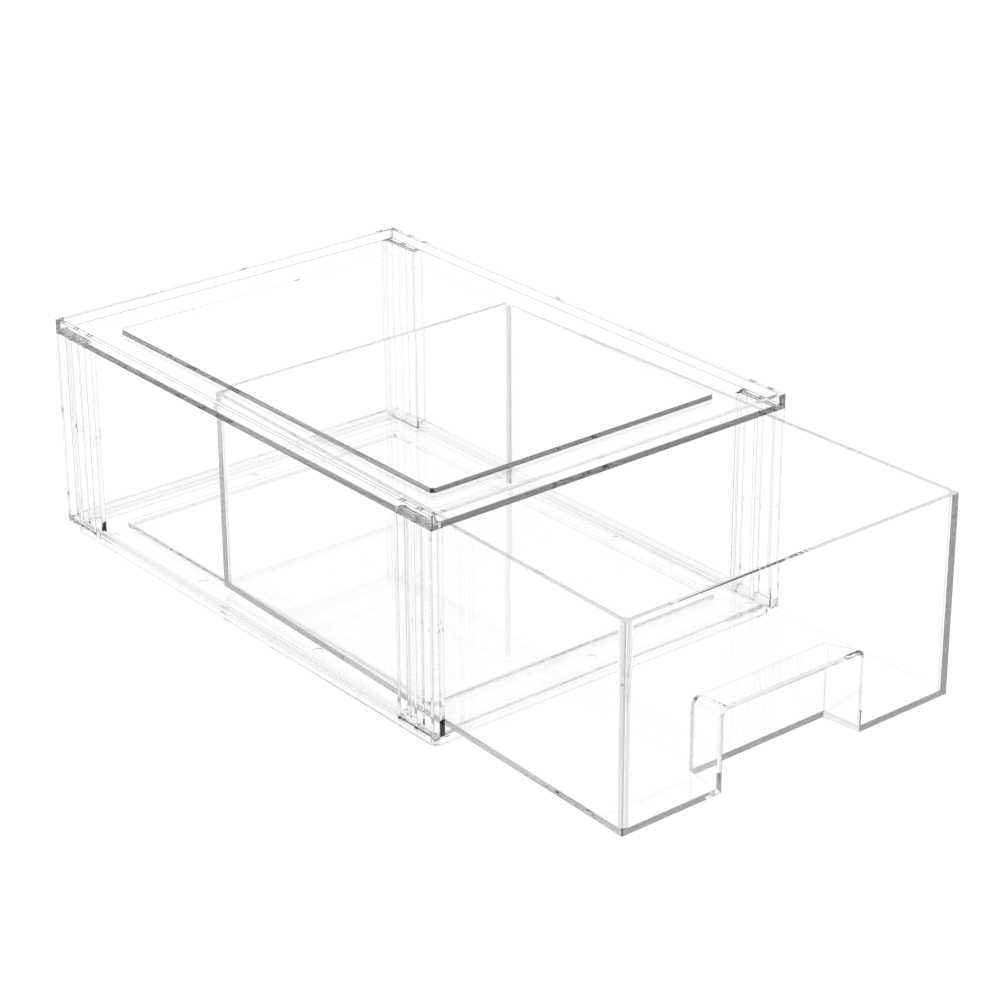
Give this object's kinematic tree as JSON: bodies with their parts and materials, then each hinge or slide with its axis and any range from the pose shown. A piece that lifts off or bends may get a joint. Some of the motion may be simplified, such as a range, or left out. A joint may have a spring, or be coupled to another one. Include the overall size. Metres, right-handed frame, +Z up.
{
  "type": "stackable drawer box",
  "caption": "Clear open-sided drawer box that stacks: a foot and a tray that nest, ribbed corner posts and a pull-out drawer with a recessed finger pull.",
  "frame": {"origin": "middle of the frame's footprint, on the surface that the foot stands on", "axes": "+Z up, -Y towards the front, where the drawer comes out, +X to the right seen from the front"},
  "size_m": [0.21, 0.4163, 0.1147],
  "materials": {
    "clear_panel": "clear moulded plastic, gloss",
    "clear_post": "clear moulded plastic, gloss",
    "clear_drawer": "clear moulded plastic, gloss"
  },
  "bodies": {
    "frame": {"base_panel": "clear_panel", "top_panel": "clear_panel", "front_left_post": "clear_post", "front_right_post": "clear_post", "rear_left_post": "clear_post", "rear_right_post": "clear_post"},
    "drawer": {"drawer": "clear_drawer"}
  },
  "joints": [
    {"name": "drawer_slide", "type": "slide", "parent": "frame", "child": "drawer", "axis": [0, -1, 0], "range_m": [-0.113, 0.087]}
  ]
}
